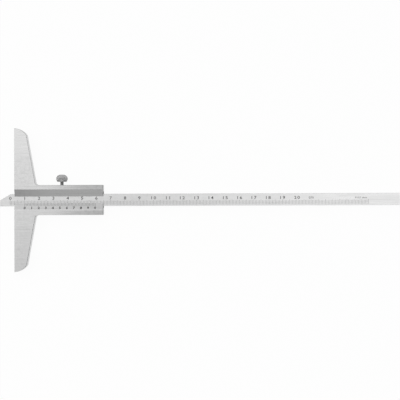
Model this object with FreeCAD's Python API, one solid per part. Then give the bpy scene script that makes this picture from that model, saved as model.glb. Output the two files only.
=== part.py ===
# Vernier depth gauge, 0 to 200 mm, in millimetres.
# +X runs along the beam, from the measuring face to the beam's far end. +Y points at the lock
# screw and +Z at the front, where the scales are. The origin lies on the measuring face, at the
# middle of the beam's width, on the flat back.
import FreeCAD
import Part
import math
import os

# Body: measuring base and slider, milled from one blank
body_thickness = 8.0
base_length = 100.0
arm_root_width = 14.8
arm_tip_width = 8.5
arm_tip_drop = 4.7
slider_length = 61.7
slider_width = 20.9
root_fillet = 2.3
edge_break = 0.25

# Beam, and the depth that the gauge shows
beam_length = 279.0
beam_width = 8.5
beam_thickness = 3.5
beam_edge_break = 0.15
scale_edge_chamfer = 0.2
tip_face_width = 4.2
tip_slope_degrees = 29.5
shown_depth = 10.4

# Channel for the beam
channel_floor = 2.0
running_clearance = 0.03
gib_backing_gap = 0.37
corner_relief_width = 0.8
corner_relief_height = 2.6

# Bevelled strips either side of the window
window_above = 2.6
window_below = 2.1
guide_bevel_width = 4.85
vernier_bevel_width = 4.3
guide_flat_width = 1.15
vernier_flat_width = 1.0
lip_edge_height = 0.45
strip_seam = 0.02
strip_edge_break = 0.25

# Gib and its set screws
gib_thickness = 1.0
gib_end_inset = 2.0
gib_top_clearance = 0.1
set_screw_diameter = 2.5
set_screw_recess = 0.3
set_screw_slot_width = 0.5
set_screw_slot_depth = 0.7
dog_point_diameter = 1.6
dog_point_depth = 0.4
set_screw_from_arm = 7.4
set_screw_from_end = 7.1

# Lock screw and the pad at its tip
lock_place = 32.75
lock_thread_diameter = 2.5
lock_thread_pitch = 0.45
lock_thread_depth = 0.24
lock_neck_length = 2.35
lock_plain_neck = 2.6
lock_neck_diameter = 2.25
lock_head_diameter = 7.9
lock_head_height = 4.95
lock_foot_diameter = 6.5
lock_taper_height = 1.4
lock_belt_height = 1.3
lock_crown_diameter = 3.6
lock_crown_rise = 0.15
lock_dome_bulge = 0.38
knurl_count = 40
knurl_depth = 0.22
pad_length = 1.4
thread_clearance = 0.05

# Countersunk screws that hold the strips from the back
strip_screw_diameter = 1.6
strip_screw_play = 0.02
strip_screw_head_diameter = 3.0
strip_screw_head_rim = 0.15
strip_screw_bite = 1.4
strip_screw_tip_room = 0.2
strip_screw_slot_width = 0.4
strip_screw_slot_depth = 0.4

# Levels above the back face
beam_bottom = channel_floor + running_clearance
beam_top = beam_bottom + beam_thickness
strip_seat = beam_top + running_clearance
lip_top = strip_seat + lip_edge_height
cross_screw_level = body_thickness / 2

# Places across the gauge
half_base = base_length / 2
half_slider = slider_width / 2
half_beam = beam_width / 2
channel_lower_wall = -half_beam - running_clearance
gib_inner_face = half_beam + running_clearance
gib_outer_face = gib_inner_face + gib_thickness
channel_upper_wall = gib_outer_face + gib_backing_gap
guide_bevel_start = window_above + guide_bevel_width
vernier_bevel_start = -window_below - vernier_bevel_width
guide_seam = guide_bevel_start + guide_flat_width
vernier_seam = vernier_bevel_start - vernier_flat_width
guide_screw_line = (channel_upper_wall + guide_seam) / 2
vernier_screw_line = (channel_lower_wall + vernier_seam) / 2

# Places along the gauge
beam_tip = -shown_depth
beam_end = beam_tip + beam_length
set_screw_places = [arm_root_width + set_screw_from_arm, slider_length - set_screw_from_end]
cross_screw_places = [set_screw_places[0], lock_place, set_screw_places[1]]
strip_screw_stops = [0.0] + cross_screw_places + [slider_length]

past = 1.0    # how far a cutter runs past the stock


def midway_places(stops):
    """The middle of each stretch between two neighbouring stops."""
    return [(a + b) / 2 for a, b in zip(stops[:-1], stops[1:])]


def vector(x, y, z):
    return FreeCAD.Vector(x, y, z)


def block(x0, x1, y0, y1, z0, z1):
    """A rectangular block between two corners."""
    return Part.makeBox(x1 - x0, y1 - y0, z1 - z0, vector(x0, y0, z0))


def flat_face(points):
    """The flat face inside a closed outline of corner points."""
    return Part.Face(Part.makePolygon(points + [points[0]]))


def prism(points, direction):
    """The outline of corner points, extruded along a direction."""
    return flat_face(points).extrude(direction)


def chamfer_where(shape, size, wanted):
    """The shape with a chamfer on each edge that the test picks by its middle point."""
    edges = [edge for edge in shape.Edges if wanted(edge, edge.CenterOfMass)]
    return shape.makeChamfer(size, edges)


def round_bar_y(diameter, x, z, y0, y1):
    """A round bar or hole cutter along +Y."""
    return Part.makeCylinder(diameter / 2, y1 - y0, vector(x, y0, z), vector(0, 1, 0))


def turned(profile, place, axis):
    """A solid turned from a half profile of (radius, height) points, stood at a place."""
    points = [vector(radius, 0, height) for radius, height in profile]
    solid = flat_face(points).revolve(vector(0, 0, 0), vector(0, 0, 1), 360)
    return stood(solid, place, axis)


def stood(solid, place, axis):
    """Turns a solid modelled along +Z to an axis, and moves its foot to a place."""
    turn = FreeCAD.Rotation(vector(0, 0, 1), axis)
    solid.Placement = FreeCAD.Placement(place, turn)
    return solid


# ---- base frame -------------------------------------------------------------------------

def body_outline():
    """The body seen from the front: straight measuring face, arms that narrow towards round
    ends, and the slider, with a fillet where each arm meets it."""
    end_radius = (arm_tip_width ** 2 + arm_tip_drop ** 2) / (2 * arm_tip_drop)
    half_turn = math.atan2(arm_tip_width, end_radius - arm_tip_drop) / 2
    arc_middle = vector(end_radius * math.sin(half_turn),
                        half_base - end_radius * (1 - math.cos(half_turn)), 0)
    face_end = vector(0, half_base, 0)
    tip = vector(arm_tip_width, half_base - arm_tip_drop, 0)
    root = vector(arm_root_width, half_slider, 0)
    slider_end = vector(slider_length, half_slider, 0)

    arm_length = (tip - root).Length
    along_arm = (tip - root).normalize()
    along_slider = vector(1, 0, 0)
    corner_turn = along_arm.getAngle(along_slider)
    setback = root_fillet / math.tan(corner_turn / 2)
    setback = min(setback, arm_length / 2)
    fillet_start = root + along_arm * setback
    fillet_end = root + along_slider * setback
    inward = (along_arm + along_slider).normalize()
    radius = setback * math.tan(corner_turn / 2)
    centre = root + inward * (radius / math.sin(corner_turn / 2))
    fillet_middle = centre - inward * radius

    def mirrored(point):
        return vector(point.x, -point.y, 0)

    upper = [
        Part.Arc(face_end, arc_middle, tip).toShape(),
        Part.makeLine(tip, fillet_start),
        Part.Arc(fillet_start, fillet_middle, fillet_end).toShape(),
        Part.makeLine(fillet_end, slider_end),
    ]
    lower = [
        Part.makeLine(mirrored(slider_end), mirrored(fillet_end)),
        Part.Arc(mirrored(fillet_end), mirrored(fillet_middle), mirrored(fillet_start)).toShape(),
        Part.makeLine(mirrored(fillet_start), mirrored(tip)),
        Part.Arc(mirrored(tip), mirrored(arc_middle), mirrored(face_end)).toShape(),
    ]
    slider_edge = [Part.makeLine(slider_end, mirrored(slider_end))]
    measuring_edge = [Part.makeLine(mirrored(face_end), face_end)]
    return Part.Wire(upper + slider_edge + lower + measuring_edge)


def base_frame():
    """The T-shaped body, with the beam's channel open to the front, a wide seat for the two
    strips above it, and the cross holes and countersinks for its screws."""
    body = Part.Face(body_outline()).extrude(vector(0, 0, body_thickness))

    def outer_edge(edge, middle):
        on_measuring_face = middle.x < 1e-6
        front_or_back = edge.BoundBox.ZLength < 1e-6
        slider_corner = middle.x > slider_length - 1e-6
        return (front_or_back or slider_corner) and not on_measuring_face

    body = chamfer_where(body, edge_break, outer_edge)
    start = -past
    end = slider_length + past
    top = body_thickness + past
    channel = block(start, end, channel_lower_wall, channel_upper_wall, channel_floor, top)
    relief = block(start, end, channel_lower_wall - corner_relief_width, channel_lower_wall,
                   channel_floor, channel_floor + corner_relief_height)
    seat = block(start, end, vernier_seam, guide_seam, strip_seat, top)
    cutters = [channel, relief, seat]
    for place in set_screw_places:
        cutters.append(round_bar_y(set_screw_diameter + 2 * thread_clearance, place,
                                   cross_screw_level, half_beam, half_slider + past))
    cutters.append(round_bar_y(lock_thread_diameter + 2 * thread_clearance, lock_place,
                               cross_screw_level, half_beam, half_slider + past))
    for line in (guide_screw_line, vernier_screw_line):
        for place in midway_places(strip_screw_stops):
            cutters.append(strip_screw_cutter(place, line))
    return body.cut(cutters)


# ---- beam -------------------------------------------------------------------------------

def beam():
    """The rule: a flat bar whose measuring end is cut back over half its width."""
    slope_length = (beam_width - tip_face_width) / math.tan(math.radians(tip_slope_degrees))
    slope_start = half_beam - (beam_width - tip_face_width)
    outline = [
        vector(beam_tip, -half_beam, beam_bottom),
        vector(beam_end, -half_beam, beam_bottom),
        vector(beam_end, half_beam, beam_bottom),
        vector(beam_tip + slope_length, half_beam, beam_bottom),
        vector(beam_tip, slope_start, beam_bottom),
    ]
    bar = prism(outline, vector(0, 0, beam_thickness))

    def long_edge(edge):
        return edge.BoundBox.XLength > slope_length + past

    def scale_edge(edge, middle):
        return long_edge(edge) and middle.y < 0 and middle.z > beam_top - 1e-6

    def other_edge(edge, middle):
        far = middle.x > beam_end - 1e-6 and edge.BoundBox.YLength > past
        beside_scale_edge = middle.y < 0 and middle.z > beam_bottom + past
        return far or (long_edge(edge) and not beside_scale_edge)

    bar = chamfer_where(bar, scale_edge_chamfer, scale_edge)
    return chamfer_where(bar, beam_edge_break, other_edge)


# ---- strips -----------------------------------------------------------------------------

def bevelled_strip(lip, bevel_start, seam):
    """A strip from its lip over the beam, up a bevel to the front face, and out to its seam."""
    section = [
        vector(0, lip, strip_seat),
        vector(0, lip, lip_top),
        vector(0, bevel_start, body_thickness),
        vector(0, seam, body_thickness),
        vector(0, seam, strip_seat),
    ]
    strip = prism(section, vector(slider_length, 0, 0))

    def front_end_edge(edge, middle):
        at_slider_end = middle.x > slider_length - 1e-6
        return at_slider_end and middle.z > lip_top and edge.BoundBox.YLength > 1e-6

    return chamfer_where(strip, strip_edge_break, front_end_edge)


def upper_guide_strip():
    """The plain strip above the window, tapped from its seat."""
    strip = bevelled_strip(window_above, guide_bevel_start, guide_seam - strip_seam)
    return strip.cut([strip_screw_cutter(place, guide_screw_line)
                      for place in midway_places(strip_screw_stops)])


def vernier_plate():
    """The strip below the window, which carries the vernier on its bevel."""
    strip = bevelled_strip(-window_below, vernier_bevel_start, vernier_seam + strip_seam)
    return strip.cut([strip_screw_cutter(place, vernier_screw_line)
                      for place in midway_places(strip_screw_stops)])


def strip_screw_profile(play, extra_length):
    """Half profile of a countersunk screw from its head's face up, grown by a play."""
    head = strip_screw_head_diameter / 2 + play
    shank = strip_screw_diameter / 2 + play
    cone_top = strip_screw_head_rim + head - shank
    tip = strip_seat + strip_screw_bite + extra_length
    return [(0, 0), (head, 0), (head, strip_screw_head_rim),
            (shank, cone_top), (shank, tip), (0, tip)]


def strip_screw_cutter(place, line):
    """Countersink, clearance hole and tapped hole for one strip screw, in one cutter."""
    return turned(strip_screw_profile(strip_screw_play, strip_screw_tip_room),
                  vector(place, line, 0), vector(0, 0, 1))


def strip_screw(place, line):
    """A slotted countersunk screw, head flush with the back face."""
    screw = turned(strip_screw_profile(0, 0),
                   vector(place, line, 0), vector(0, 0, 1))
    half_slot = strip_screw_slot_width / 2
    reach = strip_screw_head_diameter
    slot = block(place - reach, place + reach, line - half_slot, line + half_slot,
                 -past, strip_screw_slot_depth)
    return screw.cut(slot)


# ---- gib, set screws --------------------------------------------------------------------

def gib_strip():
    """The brass strip beside the beam's upper edge, with a dimple for each dog point."""
    strip = block(gib_end_inset, slider_length - gib_end_inset, gib_inner_face, gib_outer_face,
                  channel_floor, strip_seat - gib_top_clearance)
    dimple_floor = gib_outer_face - dog_point_depth
    dimples = [round_bar_y(dog_point_diameter + 2 * thread_clearance, place, cross_screw_level,
                           dimple_floor, channel_upper_wall) for place in set_screw_places]
    return strip.cut(dimples)


def gib_set_screw(place):
    """A headless slotted screw below the slider's edge, its dog point in the gib."""
    dog = round_bar_y(dog_point_diameter, place, cross_screw_level,
                      gib_outer_face - dog_point_depth, channel_upper_wall)
    outer_end = half_slider - set_screw_recess
    thread = round_bar_y(set_screw_diameter, place, cross_screw_level,
                         channel_upper_wall, outer_end)
    half_slot = set_screw_slot_width / 2
    slot = block(place - set_screw_diameter, place + set_screw_diameter,
                 outer_end - set_screw_slot_depth, outer_end + past,
                 cross_screw_level - half_slot, cross_screw_level + half_slot)
    return dog.fuse(thread).cut(slot)


# ---- lock screw and pad -----------------------------------------------------------------

def lock_pad():
    """The brass plug between the lock screw's tip and the gib."""
    start = gib_outer_face + running_clearance
    return round_bar_y(lock_thread_diameter, lock_place, cross_screw_level, start,
                       start + pad_length)


def lock_screw():
    """A turned thumb screw: threaded stem, then a head with a tapered foot, a knurled belt
    and a domed crown."""
    stem_start = gib_outer_face + 2 * running_clearance + pad_length
    foot = half_slider + lock_neck_length
    screw = turned(lock_stem_profile(foot - stem_start), vector(lock_place, stem_start,
                   cross_screw_level), vector(0, 1, 0))
    head = stood(lock_head(), vector(lock_place, foot, cross_screw_level), vector(0, 1, 0))
    return screw.fuse(head).removeSplitter()


def lock_stem_profile(length):
    """Half profile of the stem: rings of thread, and a plain neck below the head."""
    crest = lock_thread_diameter / 2
    root = crest - lock_thread_depth
    neck = lock_neck_diameter / 2
    neck_start = length - lock_plain_neck
    profile = [(0, 0), (root, 0)]
    rings = int(neck_start / lock_thread_pitch)
    for ring in range(rings):
        foot = ring * lock_thread_pitch
        profile.append((crest, foot + lock_thread_pitch / 2))
        profile.append((root, foot + lock_thread_pitch))
    profile += [(root, neck_start), (neck, neck_start), (neck, length), (0, length)]
    return profile


def lock_head():
    """The head alone, stood on its foot with its axis along +Z."""
    foot = lock_foot_diameter / 2
    belt = lock_head_diameter / 2
    crown = lock_crown_diameter / 2
    belt_top = lock_taper_height + lock_belt_height
    shoulder = lock_head_height - lock_crown_rise
    points = [vector(0, 0, 0), vector(foot, 0, 0), vector(belt, 0, lock_taper_height),
              vector(belt, 0, belt_top), vector(crown, 0, shoulder), vector(0, 0, lock_head_height)]
    dome_rise = (points[4] - points[3]).normalize()
    dome_outward = vector(dome_rise.z, 0, -dome_rise.x)
    dome_middle = (points[3] + points[4]) * 0.5 + dome_outward * lock_dome_bulge
    crown_radius = (crown ** 2 + lock_crown_rise ** 2) / (2 * lock_crown_rise)
    crown_half_turn = math.asin(crown / crown_radius) / 2
    crown_middle = vector(crown_radius * math.sin(crown_half_turn), 0, lock_head_height
                          - crown_radius * (1 - math.cos(crown_half_turn)))
    edges = [Part.makeLine(points[0], points[1]), Part.makeLine(points[1], points[2]),
             Part.makeLine(points[2], points[3]),
             Part.Arc(points[3], dome_middle, points[4]).toShape(),
             Part.Arc(points[4], crown_middle, points[5]).toShape(),
             Part.makeLine(points[5], points[0])]
    head = Part.Face(Part.Wire(edges)).revolve(vector(0, 0, 0), vector(0, 0, 1), 360)
    return head.cut(knurl_grooves(belt, belt_top))


def knurl_grooves(belt, belt_top):
    """V grooves along the belt, which run out on the taper and on the dome."""
    half_width = math.pi * belt / knurl_count * 0.8
    foot = lock_taper_height - knurl_depth
    length = belt_top + knurl_depth - foot
    grooves = []
    for number in range(knurl_count):
        corners = [vector(belt - knurl_depth, 0, foot),
                   vector(belt + knurl_depth, 2 * half_width, foot),
                   vector(belt + knurl_depth, -2 * half_width, foot)]
        groove = prism(corners, vector(0, 0, length))
        groove.rotate(vector(0, 0, 0), vector(0, 0, 1), (number + 0.5) * 360 / knurl_count)
        grooves.append(groove)
    return grooves


def all_nodes():
    """Every node of the gauge by name."""
    nodes = {
        "base_frame": base_frame(),
        "beam": beam(),
        "upper_guide_strip": upper_guide_strip(),
        "vernier_plate": vernier_plate(),
        "gib_strip": gib_strip(),
        "lock_pad": lock_pad(),
        "lock_screw": lock_screw(),
    }
    for number, place in enumerate(set_screw_places, 1):
        nodes["gib_set_screw_%d" % number] = gib_set_screw(place)
    for number, place in enumerate(midway_places(strip_screw_stops), 1):
        nodes["guide_strip_screw_%d" % number] = strip_screw(place, guide_screw_line)
        nodes["vernier_plate_screw_%d" % number] = strip_screw(place, vernier_screw_line)
    return nodes


os.makedirs("parts", exist_ok=True)
for name, shape in all_nodes().items():
    shape.exportStep("parts/%s.step" % name)
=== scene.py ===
import math

import bmesh
import bpy
from mathutils import Matrix, Vector


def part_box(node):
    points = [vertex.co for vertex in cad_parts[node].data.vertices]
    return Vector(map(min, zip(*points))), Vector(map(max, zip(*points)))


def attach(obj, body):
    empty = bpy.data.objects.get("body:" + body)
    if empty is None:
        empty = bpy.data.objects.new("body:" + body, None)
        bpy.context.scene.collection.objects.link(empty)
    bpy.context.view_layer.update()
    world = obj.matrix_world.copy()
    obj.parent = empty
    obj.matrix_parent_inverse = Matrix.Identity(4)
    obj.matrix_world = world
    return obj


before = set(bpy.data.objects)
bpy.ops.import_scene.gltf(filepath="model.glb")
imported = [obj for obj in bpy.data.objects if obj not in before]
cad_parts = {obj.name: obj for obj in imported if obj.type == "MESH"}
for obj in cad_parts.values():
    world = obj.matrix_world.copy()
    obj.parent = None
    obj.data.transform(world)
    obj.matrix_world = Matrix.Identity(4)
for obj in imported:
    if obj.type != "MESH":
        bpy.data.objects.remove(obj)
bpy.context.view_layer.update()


# ---- Base frame ---------------------------------------------------------------------------
# The measuring base and the slider in one piece: hardened stainless steel, milled from a
# single blank and surface ground along the slider, its edges broken by hand. Long use has
# left a thin film on the flats, and a duller line along the edges. A painted shade darkens
# the film towards the slider's end, and the channel and its mouth are painted dark as shade.

def effect_group(name, inputs, outputs):
    """An empty shader node group with named number inputs and outputs."""
    group = bpy.data.node_groups.new(name, "ShaderNodeTree")
    for label, value in inputs.items():
        socket = group.interface.new_socket(label, in_out="INPUT",
                                            socket_type="NodeSocketFloat")
        socket.default_value = value
    for label in outputs:
        group.interface.new_socket(label, in_out="OUTPUT", socket_type="NodeSocketFloat")
    return group, group.nodes.new("NodeGroupInput"), group.nodes.new("NodeGroupOutput")


def feed(tree, value, socket):
    """Puts a number or a colour on a socket, or links another socket to it."""
    if isinstance(value, tuple):
        socket.default_value = (*value, 1.0)
    elif isinstance(value, (int, float)):
        socket.default_value = value
    else:
        tree.links.new(value, socket)


def maths(tree, operation, first, second=0.0, clamp=False):
    """A Math node on two sockets or numbers. Returns its output."""
    node = tree.nodes.new("ShaderNodeMath")
    node.operation = operation
    node.use_clamp = clamp
    feed(tree, first, node.inputs[0])
    feed(tree, second, node.inputs[1])
    return node.outputs[0]


def ramped(tree, value, low, high, to_low=0.0, to_high=1.0):
    """Fits a value from one range to another, with smooth ends. Returns the output."""
    node = tree.nodes.new("ShaderNodeMapRange")
    node.interpolation_type = "SMOOTHSTEP"
    for label, setting in (("Value", value), ("From Min", low), ("From Max", high),
                           ("To Min", to_low), ("To Max", to_high)):
        feed(tree, setting, node.inputs[label])
    return node.outputs["Result"]


def faded(tree, value, low, high):
    """A mask that is one below the low value and falls smoothly to none at the high one."""
    return ramped(tree, value, low, high, to_low=1.0, to_high=0.0)


def cloud(tree, vector, scale, detail, roughness=0.5):
    """Soft noise over a vector. Returns its value."""
    node = tree.nodes.new("ShaderNodeTexNoise")
    node.inputs["Scale"].default_value = scale
    node.inputs["Detail"].default_value = detail
    node.inputs["Roughness"].default_value = roughness
    tree.links.new(vector, node.inputs["Vector"])
    return node.outputs["Fac"]


def place_on(tree):
    """The place on the object."""
    return tree.nodes.new("ShaderNodeTexCoord").outputs["Object"]


def place_parts(tree):
    """The place on the object as separate X, Y and Z outputs."""
    parts = tree.nodes.new("ShaderNodeSeparateXYZ")
    tree.links.new(place_on(tree), parts.inputs["Vector"])
    return parts.outputs


def stretched(tree, along, across):
    """The place on the object, scaled by one number along X and by another across it."""
    scale = tree.nodes.new("ShaderNodeCombineXYZ")
    tree.links.new(along, scale.inputs["X"])
    tree.links.new(across, scale.inputs["Y"])
    tree.links.new(across, scale.inputs["Z"])
    product = tree.nodes.new("ShaderNodeVectorMath")
    product.operation = "MULTIPLY"
    tree.links.new(place_on(tree), product.inputs[0])
    tree.links.new(scale.outputs["Vector"], product.inputs[1])
    return product.outputs["Vector"]


# Lines of the grinding wheel: fine hairlines, and a few deeper ones
grinding_lines, given, result = effect_group(
    "grinding_lines", {"Along": 60.0, "Across": 3500.0}, ["Lines", "Scratches"])
spread = stretched(grinding_lines, given.outputs["Along"], given.outputs["Across"])
hairlines = cloud(grinding_lines, spread, scale=1.0, detail=4.0, roughness=0.6)
grinding_lines.links.new(hairlines, result.inputs["Lines"])
deep = cloud(grinding_lines, spread, scale=0.37, detail=2.0)
grinding_lines.links.new(ramped(grinding_lines, deep, low=0.66, high=0.74),
                         result.inputs["Scratches"])

# Film left by oil and fingers: broad clouds with finer spots in them. On top lies a painted
# shade: the film grows thicker along X, from one place to another. Unset, that ramp starts far
# off.
film_and_painted_shade, given, result = effect_group(
    "film_and_painted_shade", {"Size": 55.0, "Clouds": 1.0, "Ramp From": 9.0, "Ramp To": 10.0}, ["Film"])
spread = stretched(film_and_painted_shade, given.outputs["Size"], given.outputs["Size"])
broad = ramped(film_and_painted_shade, cloud(film_and_painted_shade, spread, scale=1.0, detail=3.0),
               low=0.40, high=0.66)
fine = cloud(film_and_painted_shade, spread, scale=9.0, detail=4.0, roughness=0.65)
spots = ramped(film_and_painted_shade, fine, low=0.35, high=0.75)
clouds = maths(film_and_painted_shade, "MULTIPLY", broad, spots)
clouds = maths(film_and_painted_shade, "MULTIPLY", clouds, given.outputs["Clouds"])
ramp_along = ramped(film_and_painted_shade, place_parts(film_and_painted_shade)["X"],
              given.outputs["Ramp From"], given.outputs["Ramp To"])
patchy = maths(film_and_painted_shade, "MULTIPLY", ramp_along,
               ramped(film_and_painted_shade, spots, low=0.0, high=1.0, to_low=0.75))
film_and_painted_shade.links.new(maths(film_and_painted_shade, "MAXIMUM", clouds, patchy),
                        result.inputs["Film"])

# Wear along edges: where the rounded normal leaves the true one, broken up by noise
broken_edges, given, result = effect_group(
    "broken_edges", {"Radius": 0.0003, "Patches": 700.0}, ["Wear"])
rounded = broken_edges.nodes.new("ShaderNodeBevel")
rounded.samples = 4
broken_edges.links.new(given.outputs["Radius"], rounded.inputs["Radius"])
surface = broken_edges.nodes.new("ShaderNodeNewGeometry")
likeness = broken_edges.nodes.new("ShaderNodeVectorMath")
likeness.operation = "DOT_PRODUCT"
broken_edges.links.new(rounded.outputs["Normal"], likeness.inputs[0])
broken_edges.links.new(surface.outputs["Normal"], likeness.inputs[1])
unlike = maths(broken_edges, "SUBTRACT", 1.0, likeness.outputs["Value"])
turned_away = ramped(broken_edges, unlike, low=0.01, high=0.12)
spread = stretched(broken_edges, given.outputs["Patches"], given.outputs["Patches"])
patches = cloud(broken_edges, spread, scale=1.0, detail=3.0)
patches = ramped(broken_edges, patches, low=0.30, high=0.60, to_low=0.45)
broken_edges.links.new(maths(broken_edges, "MULTIPLY", turned_away, patches),
                       result.inputs["Wear"])


def placed(tree, group, **values):
    """The group as a node of a material, with this material's own numbers."""
    node = tree.nodes.new("ShaderNodeGroup")
    node.node_tree = group
    for label, value in values.items():
        node.inputs[label].default_value = value
    return node.outputs


# Where the Mix node keeps its factor, its two colours and its mixed colour
mix_factor, mix_first, mix_second, mix_result = 0, 6, 7, 2


def tinted(tree, factor, first, second):
    """Mixes two colours, each a socket or three numbers, by a factor. Returns the colour."""
    node = tree.nodes.new("ShaderNodeMix")
    node.data_type = "RGBA"
    feed(tree, factor, node.inputs[mix_factor])
    feed(tree, first, node.inputs[mix_first])
    feed(tree, second, node.inputs[mix_second])
    return node.outputs[mix_result]


def grey(tone):
    """A colour without hue."""
    return (tone, tone, tone)


def toned(colour, share):
    """A colour made darker or paler by a share."""
    return tuple(share * part for part in colour)


def new_material(name, metallic=0.0):
    """A material with one plain shader. Returns the material, its tree and the shader."""
    material = bpy.data.materials.new(name)
    material.use_nodes = True
    shader = material.node_tree.nodes["Principled BSDF"]
    shader.inputs["Metallic"].default_value = metallic
    return material, material.node_tree, shader


def relieved(tree, shader, height, depth):
    """Gives a surface the relief of a height, of a depth in metres."""
    bump = tree.nodes.new("ShaderNodeBump")
    bump.inputs["Distance"].default_value = depth
    tree.links.new(height, bump.inputs["Height"])
    tree.links.new(bump.outputs["Normal"], shader.inputs["Normal"])


# Where soft noise starts to show, and where it is at its full strength
faint, full = 0.3, 0.7

# On the body a painted shade ramps in with the film, from behind the measuring face to its
# darkest near the slider's end
film_size = 55.0
body_shade_from, body_shade_to = 0.013, 0.058
flat_seam_blend = 0.0001

# Shares that all the ground steels have in common
worn_and_shade_tone = 0.62
edge_cover = 0.8
hairline_gloss = 0.04
film_roughness = 0.10
edge_polish = 0.12
scratch_depth = 0.6


def film_on(tree, clouds, ramp_from, ramp_to):
    """The film with its painted shade ramp along X, as it lies on ground steel."""
    return placed(tree, film_and_painted_shade, **{"Size": film_size, "Clouds": clouds,
                                          "Ramp From": ramp_from,
                                          "Ramp To": ramp_to})["Film"]


def ground_steel(name, pale, dull, roughness, across=3500.0, relief=0.000006, film_and_shade_cover=0.82,
                 clouds=0.3, ramp_from=body_shade_from, ramp_to=body_shade_to, edge=0.82,
                 scratched=0.5, flat_from=None):
    """Ground or satin steel: hairlines along X, film on the flats with a painted shade ramped in
    along X, and its own edge tone.

    Above flat_from in Y the film and its painted shade lie as on the body, whatever the rest of
    the piece has.
    """
    material, tree, shader = new_material(name, metallic=1.0)
    ground = placed(tree, grinding_lines, Along=60.0, Across=across)
    film_and_shade = film_on(tree, clouds, ramp_from, ramp_to)
    if flat_from is not None:
        flat = ramped(tree, place_parts(tree)["Y"], flat_from, flat_from + flat_seam_blend)
        bevelled = maths(tree, "SUBTRACT", 1.0, flat)
        flat_film_and_shade = film_on(tree, clouds, body_shade_from, body_shade_to)
        film_and_shade = maths(tree, "ADD", maths(tree, "MULTIPLY", film_and_shade, bevelled),
                       maths(tree, "MULTIPLY", flat_film_and_shade, flat))
    wear = placed(tree, broken_edges, Radius=0.0003, Patches=700.0)["Wear"]

    worn_and_shade_colour = toned(dull, worn_and_shade_tone)
    colour = tinted(tree, ramped(tree, ground["Lines"], faint, full), dull, pale)
    scratches = maths(tree, "MULTIPLY", ground["Scratches"], scratched)
    colour = tinted(tree, scratches, colour, worn_and_shade_colour)
    colour = tinted(tree, maths(tree, "MULTIPLY", wear, edge_cover), colour, toned(dull, edge))
    # Real film with a painted shade: the film's ramp along X darkens the colour as shade would
    colour = tinted(tree, maths(tree, "MULTIPLY", film_and_shade, film_and_shade_cover), colour, worn_and_shade_colour)
    tree.links.new(colour, shader.inputs["Base Color"])

    rough = ramped(tree, ground["Lines"], faint, full, roughness + hairline_gloss,
                   roughness - hairline_gloss)
    rough = maths(tree, "ADD", rough, maths(tree, "MULTIPLY", film_and_shade, film_roughness))
    rough = maths(tree, "SUBTRACT", rough, maths(tree, "MULTIPLY", wear, edge_polish))
    tree.links.new(rough, shader.inputs["Roughness"])

    scratch_relief = maths(tree, "MULTIPLY", ground["Scratches"], scratch_depth)
    relieved(tree, shader, maths(tree, "SUBTRACT", ground["Lines"], scratch_relief), relief)
    return material


dark_cover_roughness = 0.85


def grimed(material, mask, strength, colour):
    """Lays a dark, dull colour that is no metal itself over a metal where the mask is one; laid
    as painted shade in the channel and the knurl's grooves.
    """
    tree = material.node_tree
    shader = tree.nodes["Principled BSDF"]
    cover = maths(tree, "MULTIPLY", mask, strength)
    bare, polish = (shader.inputs[label].links[0].from_socket
                    for label in ("Base Color", "Roughness"))
    tree.links.new(tinted(tree, cover, bare, colour), shader.inputs["Base Color"])
    metallic = shader.inputs["Metallic"]
    metal = metallic.links[0].from_socket if metallic.is_linked else metallic.default_value
    uncovered = maths(tree, "SUBTRACT", 1.0, cover)
    tree.links.new(maths(tree, "MULTIPLY", uncovered, metal), metallic)
    dull = maths(tree, "MULTIPLY", cover, dark_cover_roughness)
    tree.links.new(maths(tree, "MAXIMUM", polish, dull), shader.inputs["Roughness"])


def finished(node, material):
    """Gives a CAD node its material."""
    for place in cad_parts[node].material_slots:
        place.material = material


body_steel = ground_steel("body_steel", pale=grey(0.645), dull=grey(0.592), roughness=0.30)
finished("base_frame", body_steel)

# Painted shade, near black, dull and no metal, lines the channel from its floor to the
# strips' seat, and darkens the end wall around the channel's mouth, where the gaps beside
# the beam lie in shadow. The gib's side of the mouth is the wider.
channel_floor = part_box("gib_strip")[0].z
strip_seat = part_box("upper_guide_strip")[0].z
slider_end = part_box("upper_guide_strip")[1].x
half_channel = 0.0057
mouth_middle = 0.0003
half_mouth = 0.0058
mouth_shade_fade = 0.0004
foot_fade = 0.0006
hard_edge = 0.00005

tree = body_steel.node_tree
parts = place_parts(tree)
aside = maths(tree, "ABSOLUTE", parts["Y"])
inside = maths(tree, "MULTIPLY",
               ramped(tree, parts["Z"], channel_floor - 2 * hard_edge, channel_floor - hard_edge),
               faded(tree, aside, half_channel, half_channel + hard_edge))
aside = maths(tree, "ABSOLUTE", maths(tree, "SUBTRACT", parts["Y"], mouth_middle))
mouth = maths(tree, "MULTIPLY",
              ramped(tree, parts["X"], slider_end - 2 * hard_edge, slider_end - hard_edge),
              faded(tree, aside, half_mouth - mouth_shade_fade, half_mouth))
mouth = maths(tree, "MULTIPLY", mouth, ramped(tree, parts["Z"], 0.0, foot_fade))
channel_shade = maths(tree, "MULTIPLY", maths(tree, "MAXIMUM", inside, mouth),
              faded(tree, parts["Z"], strip_seat - 2 * hard_edge, strip_seat))
grimed(body_steel, channel_shade, strength=0.95, colour=grey(0.03))


# ---- Beam ---------------------------------------------------------------------------------
# The rule: a stainless steel bar, satin chromed, its measuring end cut back over half the
# width. Millimetre lines and centimetre figures are engraved in its face and filled with
# black lacquer.

finished("beam", ground_steel("beam_steel", pale=grey(0.785), dull=grey(0.74), roughness=0.30,
                              across=2800.0, relief=0.000005, film_and_shade_cover=0.45, clouds=0.15,
                              ramp_from=0.26, ramp_to=0.05, scratched=0.2))


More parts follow.
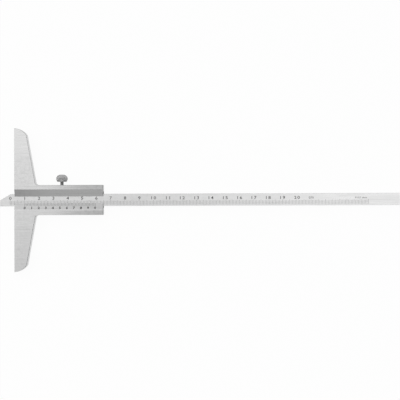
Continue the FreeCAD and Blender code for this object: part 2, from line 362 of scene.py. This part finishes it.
def scale_lacquer(name, tone, thin_tone):
    """Black lacquer baked into engraved lines, slightly uneven."""
    material, tree, shader = new_material(name)
    shader.inputs["Specular IOR Level"].default_value = 0.4
    grain = cloud(tree, place_on(tree), scale=2500.0, detail=3.0)
    thin = ramped(tree, grain, low=0.35, high=0.75)
    tree.links.new(tinted(tree, thin, tone, thin_tone), shader.inputs["Base Color"])
    tree.links.new(ramped(tree, grain, faint, full, to_low=0.42, to_high=0.62),
                   shader.inputs["Roughness"])
    relieved(tree, shader, grain, depth=0.000004)
    return material


# The lacquer stands this far out of the face, and goes as far into it
lacquer_rise = 0.00001
round_end_steps = 4


def add_line(shape, placement, across, foot, head, width):
    """One engraved line with round ends, filled just proud of the face."""
    radius = width / 2
    outline = []
    for start, centre in ((0.0, head - radius), (math.pi, foot + radius)):
        for step in range(round_end_steps + 1):
            turn = start + math.pi * step / round_end_steps
            outline.append((across + radius * math.cos(turn), centre + radius * math.sin(turn)))
    rings = []
    for level in (-lacquer_rise, lacquer_rise):
        rings.append([shape.verts.new(placement @ Vector((x, y, level))) for x, y in outline])
    shape.faces.new(rings[1])
    shape.faces.new(list(reversed(rings[0])))
    for number in range(len(outline)):
        after = (number + 1) % len(outline)
        shape.faces.new((rings[0][number], rings[0][after], rings[1][after], rings[1][number]))


def add_figure(shape, placement, text, across, middle, height, boldness=0.0, breadth=1.0,
               spacing=1.0):
    """One engraved figure or word, centred at a place on the face."""
    half_thickness = 0.01
    letters = bpy.data.curves.new("letters", "FONT")
    letters.body = text
    letters.extrude = half_thickness
    letters.offset = boldness
    letters.space_character = spacing
    letters.resolution_u = 3
    holder = bpy.data.objects.new("letters", letters)
    bpy.context.scene.collection.objects.link(holder)
    bpy.context.view_layer.update()
    mesh = bpy.data.meshes.new_from_object(
        holder.evaluated_get(bpy.context.evaluated_depsgraph_get()))
    left, right = (pick(point.co.x for point in mesh.vertices) for pick in (min, max))
    low, high = (pick(point.co.y for point in mesh.vertices) for pick in (min, max))
    size = height / (high - low)
    centred = Matrix.Translation((-(left + right) / 2, -(low + high) / 2, 0))
    scaled = Matrix.Diagonal((size * breadth, size, lacquer_rise / half_thickness, 1.0))
    mesh.transform(placement @ Matrix.Translation((across, middle, 0)) @ scaled @ centred)
    shape.from_mesh(mesh)
    bpy.data.meshes.remove(mesh)
    bpy.data.objects.remove(holder)
    bpy.data.curves.remove(letters)


def scale_piece(name, shape, material, body):
    """Makes one piece of the scene from a filled shape, riding on its body."""
    mesh = bpy.data.meshes.new(name)
    shape.to_mesh(mesh)
    shape.free()
    mesh.materials.append(material)
    piece = bpy.data.objects.new(name, mesh)
    bpy.context.scene.collection.objects.link(piece)
    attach(piece, body)
    return piece


# The beam's zero line is as far from its tip as the vernier's is from the measuring face
zero_inset = 0.00715
millimetre = 0.001
last_line = 250
line_foot = -0.0034
line_head = -0.00057
fifth_line_head = -0.0001
beam_line_width = 0.00014

beam_low, beam_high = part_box("beam")
beam_face = Matrix.Translation((beam_low.x + zero_inset, 0.0, beam_high.z))
lacquer = scale_lacquer("scale_lacquer", tone=grey(0.018), thin_tone=toned(grey(0.018), 2.2))

lines = bmesh.new()
for number in range(last_line + 1):
    head = fifth_line_head if number % 5 == 0 else line_head
    add_line(lines, beam_face, number * millimetre, line_foot, head, beam_line_width)
scale_piece("beam_lines", lines, lacquer, "beam")

centimetre = 0.010
last_figure = 20
figure_shift = 0.00015
figure_middle = 0.0013
word_middle = 0.0012
resolution_place = 0.2447

figures = bmesh.new()
for number in range(last_figure + 1):
    add_figure(figures, beam_face, str(number), number * centimetre + figure_shift,
               figure_middle, height=0.0021, boldness=0.01, breadth=1.2, spacing=1.3)
add_figure(figures, beam_face, "cm", (last_figure + 1) * centimetre, word_middle,
           height=0.0014)
add_figure(figures, beam_face, "0.02 mm", resolution_place, word_middle, height=0.0012,
           breadth=1.25, spacing=1.1)
scale_piece("beam_figures", figures, lacquer, "beam")


# ---- Upper guide strip --------------------------------------------------------------------
# A plain bevelled strip of stainless steel over the beam's upper edge, ground a little
# finer than the body and screwed on from the back.

guide_bevel_end = 0.0074
# Painted shade: on the bevel the film's ramp is darkest at the end by the measuring face and gone
# by 35 mm; the flat above the bevel carries the body's painted shade.
finished("upper_guide_strip", ground_steel("guide_strip_steel", pale=grey(0.640),
                                           dull=grey(0.597), roughness=0.30, across=4200.0,
                                           film_and_shade_cover=0.8, ramp_from=0.035, ramp_to=-0.010,
                                           edge=1.05, flat_from=guide_bevel_end))


# ---- Vernier plate ------------------------------------------------------------------------
# The bevelled strip along the beam's lower edge, satin chromed stainless steel. The lines on
# its bevel start at the lip and mark fifty divisions of 0.98 mm, with a figure at every fifth.

finished("vernier_plate", ground_steel("vernier_plate_steel", pale=grey(0.665),
                                       dull=grey(0.612), roughness=0.31, film_and_shade_cover=0.3,
                                       edge=1.05))

plate_low, plate_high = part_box("vernier_plate")
lip_height = 0.00045
bevel_width = 0.0043
vernier_pitch = 0.00098
vernier_count = 50
tenths = 10
lines_to_tenth = vernier_count // tenths
vernier_head = -0.0001
vernier_foot = -0.0021
tenth_foot = -0.0026
vernier_line_width = 0.00016
vernier_figure_middle = -0.0037

bevel_rise = plate_high.z - plate_low.z - lip_height
bevel_tilt = math.atan2(bevel_rise, bevel_width)
bevel_face = (Matrix.Translation((zero_inset, plate_high.y, plate_low.z + lip_height))
              @ Matrix.Rotation(-bevel_tilt, 4, "X"))

lines = bmesh.new()
for number in range(vernier_count + 1):
    foot = tenth_foot if number % lines_to_tenth == 0 else vernier_foot
    add_line(lines, bevel_face, number * vernier_pitch, foot, vernier_head, vernier_line_width)
scale_piece("vernier_lines", lines, lacquer, "frame")

figures = bmesh.new()
for number in range(tenths + 1):
    add_figure(figures, bevel_face, str(number % tenths),
               number * lines_to_tenth * vernier_pitch, vernier_figure_middle,
               height=0.0018, boldness=0.035, breadth=1.15)
scale_piece("vernier_figures", figures, lacquer, "frame")


# ---- Gib and lock pad ---------------------------------------------------------------------
# The gib is a rolled brass strip between the beam and the slider; the pad is a turned brass
# plug that the lock screw presses on it. Both are dull with oil.

def oiled_brass(name, along, across):
    """Brass with a dull, patchy film."""
    dull, pale, oily = (0.60, 0.42, 0.18), (0.78, 0.58, 0.28), (0.32, 0.21, 0.09)
    oil_cover, oil_roughness = 0.6, 0.2
    material, tree, shader = new_material(name, metallic=1.0)
    drawn = placed(tree, grinding_lines, Along=along, Across=across)
    oil = placed(tree, film_and_painted_shade, Size=240.0)["Film"]
    colour = tinted(tree, ramped(tree, drawn["Lines"], faint, full), dull, pale)
    colour = tinted(tree, maths(tree, "MULTIPLY", oil, oil_cover), colour, oily)
    tree.links.new(colour, shader.inputs["Base Color"])
    rough = ramped(tree, drawn["Lines"], faint, full, to_low=0.42, to_high=0.32)
    rough = maths(tree, "ADD", rough, maths(tree, "MULTIPLY", oil, oil_roughness))
    tree.links.new(rough, shader.inputs["Roughness"])
    relieved(tree, shader, drawn["Lines"], depth=0.000006)
    return material


finished("gib_strip", oiled_brass("gib_brass", along=40.0, across=3000.0))
finished("lock_pad", oiled_brass("pad_brass", along=2500.0, across=500.0))


# ---- Set screws and strip screws ----------------------------------------------------------
# Two headless set screws place the gib; eight countersunk screws hold the strips from the
# back. All are slotted and turned from stainless steel, with small dull pits.

turning_rings, given, result = effect_group(
    "turning_rings", {"Rings": 6000.0, "Pits": 2500.0}, ["Rings", "Pits"])
spread = stretched(turning_rings, given.outputs["Pits"], given.outputs["Rings"])
turning_rings.links.new(cloud(turning_rings, spread, scale=1.0, detail=2.0),
                        result.inputs["Rings"])
spread = stretched(turning_rings, given.outputs["Pits"], given.outputs["Pits"])
spots = cloud(turning_rings, spread, scale=1.0, detail=4.0)
turning_rings.links.new(ramped(turning_rings, spots, low=0.55, high=0.72),
                        result.inputs["Pits"])


def turned_steel(name, pale, dull, roughness, edge):
    """Turned steel: tool rings, small dull pits, and edges of a tone of their own."""
    pit_cover, pit_tone, pit_roughness = 0.5, 0.6, 0.12
    ring_dullness, ring_gloss = 0.05, 0.04
    turned_edge_cover = 0.7
    material, tree, shader = new_material(name, metallic=1.0)
    tool = placed(tree, turning_rings, Rings=5200.0, Pits=1800.0)
    wear = placed(tree, broken_edges, Radius=0.00015, Patches=1600.0)["Wear"]
    colour = tinted(tree, ramped(tree, tool["Rings"], faint, full), dull, pale)
    colour = tinted(tree, maths(tree, "MULTIPLY", tool["Pits"], pit_cover), colour,
                    toned(dull, pit_tone))
    colour = tinted(tree, maths(tree, "MULTIPLY", wear, turned_edge_cover), colour, edge)
    tree.links.new(colour, shader.inputs["Base Color"])
    rough = ramped(tree, tool["Rings"], faint, full, roughness + ring_dullness,
                   roughness - ring_gloss)
    rough = maths(tree, "ADD", rough, maths(tree, "MULTIPLY", tool["Pits"], pit_roughness))
    tree.links.new(rough, shader.inputs["Roughness"])
    relieved(tree, shader, tool["Rings"], depth=0.000006)
    return material


set_screw_steel = turned_steel("set_screw_steel", pale=(0.42, 0.42, 0.43),
                               dull=(0.30, 0.30, 0.31), roughness=0.38, edge=grey(0.50))
strip_screw_steel = turned_steel("strip_screw_steel", pale=(0.62, 0.62, 0.63),
                                 dull=(0.50, 0.50, 0.51), roughness=0.34, edge=grey(0.74))
for number in range(1, 3):
    finished("gib_set_screw_%d" % number, set_screw_steel)
for number in range(1, 5):
    finished("guide_strip_screw_%d" % number, strip_screw_steel)
    finished("vernier_plate_screw_%d" % number, strip_screw_steel)


# ---- Lock screw ---------------------------------------------------------------------------
# A thumb screw turned from one bar, satin plated: threaded stem, tapered foot, knurled belt
# and domed crown. It nips the beam through the pad and the gib.

lock_steel = turned_steel("lock_screw_steel", pale=grey(0.60), dull=grey(0.50),
                          roughness=0.42, edge=grey(0.39))
tree = lock_steel.node_tree
tree.nodes["Principled BSDF"].inputs["Specular Tint"].default_value = (*grey(0.2), 1.0)
finished("lock_screw", lock_steel)

screw_low, screw_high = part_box("lock_screw")
screw_middle = (screw_low + screw_high) / 2
head_height = 0.00495
taper_height = 0.0014
belt_height = 0.0013
belt_radius = (screw_high.x - screw_low.x) / 2
belt_blend = 0.0001
knurl_depth = 0.00022
knurl_land = 0.00004
neck_dark_full, neck_dark_edge = -0.0003, 0.0001

# The thread and the neck, below the head, are made dark and dull
neck_top = screw_high.y - head_height
parts = place_parts(tree)
below = faded(tree, parts["Y"], neck_top + neck_dark_full, neck_top + neck_dark_edge)
grimed(lock_steel, below, strength=0.8, colour=grey(0.17))

# Painted shade, dark and dull, also fills the grooves of the knurled belt, between the
# tapered foot and the crown, where the grooves lie in shadow
belt_foot = neck_top + taper_height
belt_top = belt_foot + belt_height
aside = maths(tree, "SUBTRACT", parts["X"], screw_middle.x)
lifted = maths(tree, "SUBTRACT", parts["Z"], screw_middle.z)
from_axis = maths(tree, "SQRT", maths(tree, "ADD", maths(tree, "MULTIPLY", aside, aside),
                                      maths(tree, "MULTIPLY", lifted, lifted)))
grooved = faded(tree, from_axis, belt_radius - knurl_depth, belt_radius - knurl_land)
grooved = maths(tree, "MULTIPLY", grooved,
                ramped(tree, parts["Y"], belt_foot, belt_foot + belt_blend))
grooved = maths(tree, "MULTIPLY", grooved,
                faded(tree, parts["Y"], belt_top - belt_blend, belt_top))
grimed(lock_steel, grooved, strength=0.8, colour=grey(0.12))


# ---- Table, light and camera --------------------------------------------------------------
# The gauge lies on a plain white table, in a pale room. The room is brightest overhead, half
# as bright at the lock screw's side, and dark on the other side down to a bright horizon. A
# wide, weak soft box stands beyond the measuring face.

table_half = 4
table_gap = 0.00002
corners = [(-table_half, -table_half, 0), (table_half, -table_half, 0),
           (table_half, table_half, 0), (-table_half, table_half, 0)]
floor_mesh = bpy.data.meshes.new("table_top")
floor_mesh.from_pydata(corners, [], [(0, 1, 2, 3)])
table_top = bpy.data.objects.new("table_top", floor_mesh)
table_top.location.z = -table_gap
bpy.context.scene.collection.objects.link(table_top)

# The table shows white, itself and in the metal, with a little of the shadow left in it
shown_white = 0.95
white = bpy.data.materials.new("white_laminate")
white.use_nodes = True
tree = white.node_tree
tree.nodes.remove(tree.nodes["Principled BSDF"])
laminate = tree.nodes.new("ShaderNodeBsdfDiffuse")
mottling = cloud(tree, place_on(tree), scale=900.0, detail=2.0)
tree.links.new(tinted(tree, mottling, grey(0.93), grey(0.96)), laminate.inputs["Color"])
glow = tree.nodes.new("ShaderNodeEmission")
glow.inputs["Strength"].default_value = 1.0
path = tree.nodes.new("ShaderNodeLightPath")
seen = maths(tree, "ADD", path.outputs["Is Camera Ray"], path.outputs["Is Glossy Ray"])
seen = maths(tree, "ADD", seen, path.outputs["Is Transmission Ray"], clamp=True)
blend = tree.nodes.new("ShaderNodeMixShader")
tree.links.new(maths(tree, "MULTIPLY", seen, shown_white), blend.inputs["Fac"])
tree.links.new(laminate.outputs["BSDF"], blend.inputs[1])
tree.links.new(glow.outputs["Emission"], blend.inputs[2])
tree.links.new(blend.outputs["Shader"], tree.nodes["Material Output"].inputs["Surface"])
floor_mesh.materials.append(white)

room = bpy.data.worlds.new("studio")
bpy.context.scene.world = room
room.use_nodes = True
tree = room.node_tree
direction = tree.nodes.new("ShaderNodeTexCoord")
parts = tree.nodes.new("ShaderNodeSeparateXYZ")
tree.links.new(direction.outputs["Generated"], parts.inputs["Vector"])


def brightness(part, stops):
    """The room's brightness over one part of the direction, from -1 to 1.

    The curve is cut off at 1, so stops above that make it steep at its sides and flat on top.
    """
    ramp = tree.nodes.new("ShaderNodeValToRGB")
    ramp.color_ramp.interpolation = "B_SPLINE"
    elements = ramp.color_ramp.elements
    for element, (place, level) in zip(elements, (stops[0], stops[-1])):
        element.color = (*grey(level), 1.0)
    for place, level in stops[1:-1]:
        elements.new((place + 1) / 2).color = (*grey(level), 1.0)
    centred = maths(tree, "MULTIPLY", maths(tree, "ADD", parts.outputs[part], 1.0), 0.5)
    tree.links.new(centred, ramp.inputs["Fac"])
    return ramp.outputs["Color"]


room_level = 1.40
across = brightness("Y", [(-1.0, 1.04), (-0.88, 0.72), (-0.66, 0.32), (-0.3, 0.35),
                          (-0.08, 0.33), (0.075, 1.52), (0.35, 1.24), (0.7, 0.66), (1.0, 0.44)])
along = brightness("X", [(-1.0, 0.5), (-0.7, 1.2), (-0.3, 1.15), (-0.15, 1.0), (0.0, 1.0),
                         (0.15, 1.45), (0.3, 1.4), (0.5, 0.6), (0.7, 0.4), (1.0, 0.4)])
upward = brightness("Z", [(-1.0, 0.72), (0.0, 0.72), (0.3, 0.84), (0.7, 0.94), (1.0, 1.0)])
level = maths(tree, "MULTIPLY", maths(tree, "MULTIPLY", across, along), upward)
level = maths(tree, "MULTIPLY", level, room_level)
path = tree.nodes.new("ShaderNodeLightPath")
seen = maths(tree, "ADD", path.outputs["Is Camera Ray"],
             path.outputs["Is Transmission Ray"], clamp=True)
level = maths(tree, "MAXIMUM", level, seen)
tree.nodes["Background"].inputs["Color"].default_value = (*grey(1.0), 1.0)
tree.links.new(level, tree.nodes["Background"].inputs["Strength"])

lamp = bpy.data.lights.new("soft_box", "AREA")
lamp.shape = "SQUARE"
lamp.size = 0.9
lamp.energy = 0.8
soft_box = bpy.data.objects.new("soft_box", lamp)
soft_box.location = (-0.62, 0.25, 0.62)
lit_place = Vector((0.08, 0.0, 0.0))
aim = lit_place - soft_box.location
soft_box.rotation_euler = aim.to_track_quat("-Z", "Y").to_euler()
bpy.context.scene.collection.objects.link(soft_box)

lens = bpy.data.cameras.new("camera")
lens.lens = 103.2
lens.sensor_width = 36.0
lens.clip_start = 0.01
camera = bpy.data.objects.new("camera", lens)
camera.location = (0.1292, -0.00028, 0.8056)
camera.rotation_euler = (0.0, 0.0, -0.0032)
bpy.context.scene.collection.objects.link(camera)
bpy.context.scene.camera = camera

bpy.context.scene.view_settings.view_transform = "Standard"
